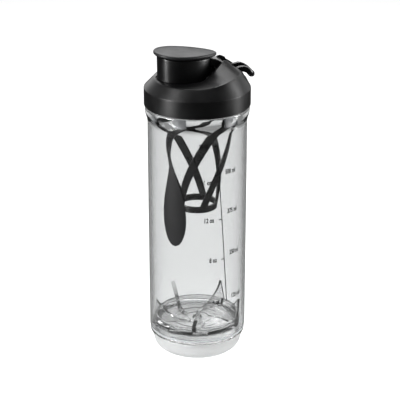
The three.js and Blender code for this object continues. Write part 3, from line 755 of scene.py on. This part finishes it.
cap = skin([
    egg(cap_span, 14.6, 0.16, level(well_floor - 4), 0.3),
    egg(cap_span, 14.6, 0.16, cap_slope(-1.2)), egg(cap_span, 14.6, 0.16, cap_slope(-0.5), 0.2),
    egg(cap_span, 14.6, 0.16, cap_slope(0), 0.8)])
cap = combine(cap, skin([
    egg(cap_span, 14.6, 0.16, level(well_floor - 5), 2.2),
    egg(cap_span, 14.6, 0.16, cap_slope(-2.8), 1.9),
    egg(cap_span, 14.6, 0.16, cap_slope(-1.8), 2.9)]), "DIFFERENCE")
line = [(x, rim_height(x) - 1.3) for x in range(-42, 43)]
cap = combine(cap, side_slab([(-42, 190), *line, (42, 190)], 42), "DIFFERENCE")
cap = combine(cap, moved(turned([
    (0, spout_top + 0.6, 0), (5.7, spout_top + 0.6, 0.5),
    (5.7, cap_slope(-0.9)(spout_x + 5.7), 0), (0, cap_slope(-0.9)(spout_x + 5.7), 0)], 64),
    spout_x), "UNION")
root_x, top_x = cap_span[1] - 1.9, hinge_x - 4.1
arm = side_slab([
    (root_x, hinge_z + 0.8), (root_x, cap_slope(-0.8)(root_x)),
    (top_x, cap_slope(-0.8)(top_x)), (hinge_x + 2.17, hinge_z + 1.91), (hinge_x, hinge_z),
    (hinge_x - 2.6, hinge_z - 1.16)], 6.4)
cap = combine(cap, arm, "UNION")
cap = combine(cap, rod(hinge_x, hinge_z, 2.9, 6.4), "UNION")
cap = combine(cap, rod(hinge_x, hinge_z, 1.5, 8.0), "DIFFERENCE")
finish_piece(cap, "cap_moulding", "cap", "black_cap", black_cap, "flip_cap",
             sharp=30, bevel_mm=0.25)

# %% [markdown]
# The plate on top overhangs the cup, most of all at the drinking side, where a thumb lifts it.
# Its edge is rounded and its field is sunk a little, so its outlines are a quarter circle of
# insets and lifts.

# %% Cap top plate
plate_low, plate_high = corners_of("cap_top_disc")
plate_span = (plate_low.x, plate_high.x)
plate_thick, plate_edge = 3.0, 1.1


def plate(lift, inset):
    return egg(plate_span, 15.5, 0.3, cap_slope(0.3 + lift), inset)


quarter = [math.radians(15 * k) for k in range(7)]
plate_skin = [plate(0, 1.9), plate(0.5, 0.6), plate(1.1, 0.0)]
plate_skin += [
    plate(plate_thick - plate_edge * (1 - math.sin(a)), plate_edge * (1 - math.cos(a)))
    for a in quarter]
plate_skin += [plate(plate_thick, plate_edge + 0.5), plate(plate_thick - 0.15, plate_edge + 0.9),
               plate(plate_thick - 0.4, plate_edge + 1.2)]
# The plate takes the lighter black, a painted reflection of the overhead light.
finish_piece(skin(plate_skin), "cap_top_plate", "cap", "black_cap_top", black_cap_top,
             "cap_top_disc", sharp=50)

# %% [markdown]
# A stainless pin runs through the hump and the cap's knuckle. It is ground, with broken ends.

# %% Hinge pin
finish_piece(rod(hinge_x, hinge_z, 1.2, pin_high.y, 0.3), "hinge_pin_rod", "lid",
             "hinge_pin_steel", pin_steel, "cap_hinge_pin")

# %% [markdown]
# ## The carry loop
# A rounded bar bent into a wide U that lies behind the hump. It is swept along its own path:
# straight arms, two bends and a far bar, with a slight droop. The axle joins the two arms.

# %% Carry loop
reach, arm_y, bend = loop_high.x - 2.2, 5.4, 4.2
bend_x, bend_y = reach - bend, arm_y - bend
path = [(loop_x + (bend_x - loop_x) * k / 8, -arm_y) for k in range(8)]
path += [(bend_x + bend * math.sin(math.radians(9 * k)), -bend_y - bend * math.cos(
    math.radians(9 * k))) for k in range(11)]
path += [(x, -y) for x, y in reversed(path)]


def loop_point(x, y):
    return Vector((x, y, loop_z + 0.075 * (42.25 - (x - loop_x - 6.5) ** 2)))


points = [loop_point(x, y) for x, y in path]
loop_frames = []
for index, point in enumerate(points):
    ahead = points[min(index + 1, len(points) - 1)] - points[max(index - 1, 0)]
    along = ahead.normalized()
    across = along.cross(Vector((0, 0, 1))).normalized()
    frame_at = Matrix((across * 2.2, across.cross(along) * 2.2, along)).transposed().to_4x4()
    frame_at.translation = point
    loop_frames.append(frame_at)
bar = [(math.copysign(abs(math.cos(a)) ** 0.7, math.cos(a)),
        math.copysign(abs(math.sin(a)) ** 0.7, math.sin(a)))
       for a in (math.radians(22.5 * k) for k in range(16))]
loop = combine(sweep(bar, loop_frames), rod(loop_x, loop_z, 1.7, loop_high.y, 0.4), "UNION")
finish_piece(loop, "carry_loop_bar", "loop", "black_loop", black_loop, "carry_loop", sharp=50)

# %% [markdown]
# ## Print
# The scale and the graphic are screen-printed on the outside, a film a few hundredths of a
# millimetre thick. Text is made a mesh while flat, and the flat shapes are then wrapped round
# the wall. The graphic is a plain long water drop.

# %% Wrap round the wall
def wall_at(z):
    share = min(1.0, (z - bottle_low.z) / (shoulder - 35 - bottle_low.z))
    return wall_radius - 0.6 + 0.6 * share


def wrap(bm, degrees, height):
    """Bends flat millimetres onto the wall. x runs round it and y runs up it."""
    for vert in bm.verts:
        z = height + vert.co.y
        angle = math.radians(degrees) + vert.co.x / wall_radius
        radius = wall_at(z) + 0.06 + vert.co.z
        vert.co = (radius * math.sin(angle), -radius * math.cos(angle), z)


def add_to(whole, part):
    mesh = bpy.data.meshes.new("part")
    part.to_mesh(mesh)
    part.free()
    whole.from_mesh(mesh)
    bpy.data.meshes.remove(mesh)


def lettering(words, width, align):
    """Flat text of a given width, its left or right end at x = 0."""
    curve = bpy.data.curves.new("lettering", "FONT")
    curve.body, curve.size, curve.extrude, curve.offset = words, 5.0, 0.02, 0.17
    text = bpy.data.objects.new("lettering", curve)
    scene.collection.objects.link(text)
    mesh = bpy.data.meshes.new_from_object(text.evaluated_get(
        bpy.context.evaluated_depsgraph_get()))
    bm = bmesh.new()
    bm.from_mesh(mesh)
    bpy.data.objects.remove(text)
    left, right = min(v.co.x for v in bm.verts), max(v.co.x for v in bm.verts)
    start = left if align == "left" else right
    bmesh.ops.translate(bm, vec=(-start, -1.5, 0), verts=bm.verts)
    bmesh.ops.scale(bm, vec=(width / (right - left), 1, 1), verts=bm.verts)
    return bm


# %% [markdown]
# The marks are not evenly spaced, because the tube widens a little upwards and the fins take up
# room at the bottom. The scale's line leans round the wall, 14 degrees from end to end.

# %% Printed scale
def level_of(millilitres):
    return floor_level - 9.3 + 0.316 * millilitres - 7.5e-5 * millilitres ** 2


line_foot, line_top = level_of(118) - 1.0, level_of(591) + 1.0


def line_angle(z):
    return 22 - 14 * (z - line_foot) / (line_top - line_foot)


scale = bmesh.new()
line = bmesh.new()
bmesh.ops.create_grid(line, x_segments=1, y_segments=48, size=0.5)
for vert in line.verts:
    z = line_foot + (line_top - line_foot) * (vert.co.y + 0.5)
    lean = math.radians(line_angle(z)) * wall_radius
    vert.co = (lean + 0.7 * vert.co.x, z, 0)
bmesh.ops.solidify(line, geom=line.faces[:], thickness=0.04)
wrap(line, 0, 0)
add_to(scale, line)
for ounces in (4, 8, 12, 16, 20):
    z = level_of(ounces * 29.57)
    words = lettering(f"{ounces} oz", 4.6 + 1.5 * len(str(ounces)), "right")
    wrap(words, line_angle(z) - 9.5, z)
    add_to(scale, words)
    tick = block((-2.6, -0.32, -0.02), (0, 0.32, 0.02))
    wrap(tick, line_angle(z), z)
    add_to(scale, tick)
for millilitres in (125, 250, 375, 500):
    z = level_of(millilitres)
    words = lettering(f"{millilitres} ml", 9.6, "left")
    wrap(words, line_angle(z) + 8.2, z)
    add_to(scale, words)
finish_piece(scale, "printed_scale", "bottle", "black_lid", ink)

# %% [markdown]
# The drop is a grid drawn out into a long plain shape, round below and thin above.

# %% Printed drop
drop = bmesh.new()
bmesh.ops.create_grid(drop, x_segments=20, y_segments=60, size=0.5)
for vert in drop.verts:
    across, up = vert.co.x * 2, vert.co.y + 0.5
    if up < 0.3:
        half_width = 9.5 * math.sqrt(1 - (1 - up / 0.3) ** 2)
    else:
        half_width = 9.5 * (0.5 + 0.5 * math.cos(math.pi * (up - 0.3) / 0.7)) ** 0.9
    vert.co = (across * max(half_width, 0.05) - 4 * up ** 2, 76 * up, 0)
bmesh.ops.solidify(drop, geom=drop.faces[:], thickness=0.04)
wrap(drop, -42, floor_level + 72)
finish_piece(drop, "printed_drop", "bottle", "black_lid", drop_ink)

# %% [markdown]
# ## Stage and light
# The bottle stands on a pale floor under broad soft lamps. In a studio, black cards hang out of
# view, so that black plastic mirrors the dark cards and not the white room. Here the floor and
# the world are simply darker to mirrored rays, and as bright as ever to all others.

# %% Floor
def card_share(tree):
    """1 for light mirrored on its way, 0 for any other, 0.6 for a glance inside one wall."""
    ray = add_node(tree, "ShaderNodeLightPath")
    glance = add_node(tree, "ShaderNodeMath", {
        0: ray.outputs["Transmission Depth"], 1: 2.0, 2: 0.1}, operation="COMPARE")
    share = add_node(tree, "ShaderNodeMapRange", {
        "Value": glance.outputs["Value"], "To Min": 1.0, "To Max": 0.6})
    mirrored = add_node(tree, "ShaderNodeMath", {0: ray.outputs["Glossy Depth"], 1: 1.0},
                        operation="MINIMUM")
    return add_node(tree, "ShaderNodeMath", {
        0: mirrored.outputs["Value"], 1: share.outputs["Result"]},
        operation="MULTIPLY").outputs["Value"]


floor_mesh = bpy.data.meshes.new("floor")
bm = bmesh.new()
bmesh.ops.create_grid(bm, x_segments=1, y_segments=1, size=6)
bm.to_mesh(floor_mesh)
bm.free()
floor = bpy.data.objects.new("floor", floor_mesh)
scene.collection.objects.link(floor)
pale, tree = new_material("pale_floor")
pale_side = add_node(tree, "ShaderNodeBsdfDiffuse", {"Color": linear("#f8f8f8")})
card_side = add_node(tree, "ShaderNodeBsdfDiffuse", {"Color": linear("#404040")})
mix = add_node(tree, "ShaderNodeMixShader", {"Fac": card_share(tree)})
tree.links.new(pale_side.outputs["BSDF"], mix.inputs[1])
tree.links.new(card_side.outputs["BSDF"], mix.inputs[2])
add_node(tree, "ShaderNodeOutputMaterial", {"Surface": mix.outputs["Shader"]})
floor_mesh.materials.append(pale)


# %% [markdown]
# One soft lamp overhead, a strip on each side for the rims of the lid, two low strips that only
# draw glints down the cap's side, and a white room. The room is bright behind the bottle, so
# the sloping plate and rim mirror it back to the eye.

# %% Lights and world
def soft_light(name, azimuth, height, away, size, watts):
    """A rectangular lamp that faces the bottle. azimuth is from the camera, to the right."""
    data = bpy.data.lights.new(name, "AREA")
    data.shape, data.size, data.size_y, data.energy = "RECTANGLE", *size, watts
    lamp = bpy.data.objects.new(name, data)
    angle = turn_left + math.radians(azimuth)
    lamp.location = (away * math.sin(angle), -away * math.cos(angle), height)
    facing = lamp.location - Vector((0, 0, 0.14))
    lamp.rotation_mode = "QUATERNION"
    lamp.rotation_quaternion = facing.to_track_quat("Z", "Y")
    scene.collection.objects.link(lamp)
    return lamp


soft_light("overhead", 180, 1.25, 0.62, (0.7, 0.6), 9)
soft_light("left_strip", -66, 0.8, 0.9, (0.2, 0.7), 11)
soft_light("right_strip", 98, 0.5, 1.1, (0.3, 0.9), 6)
for glint in (soft_light("left_low", -60, 0.22, 0.8, (0.14, 0.4), 6),
              soft_light("right_low", 92, 0.22, 0.8, (0.14, 0.4), 4)):
    glint.visible_diffuse = glint.visible_transmission = False
world = bpy.data.worlds.new("studio")
scene.world = world
world.use_nodes = True
sky = world.node_tree
sky.nodes.clear()
direction = add_node(sky, "ShaderNodeTexCoord").outputs["Generated"]
behind = add_node(sky, "ShaderNodeVectorMath", {0: direction}, operation="DOT_PRODUCT")
behind.inputs[1].default_value = (-math.sin(turn_left), math.cos(turn_left), 0)
mirrored = add_node(sky, "ShaderNodeMapRange", {
    "Value": behind.outputs["Value"], "From Min": 0.5, "From Max": 0.95,
    "To Min": 0.02, "To Max": 1.9})
strength = add_node(sky, "ShaderNodeMapRange", {
    "Value": card_share(sky), "To Min": 0.55, "To Max": mirrored.outputs["Result"]})
glow = add_node(sky, "ShaderNodeBackground", {
    "Color": linear("#ffffff"), "Strength": strength.outputs["Result"]})
add_node(sky, "ShaderNodeOutputWorld", {"Surface": glow.outputs["Background"]})
scene.view_settings.view_transform = "Standard"
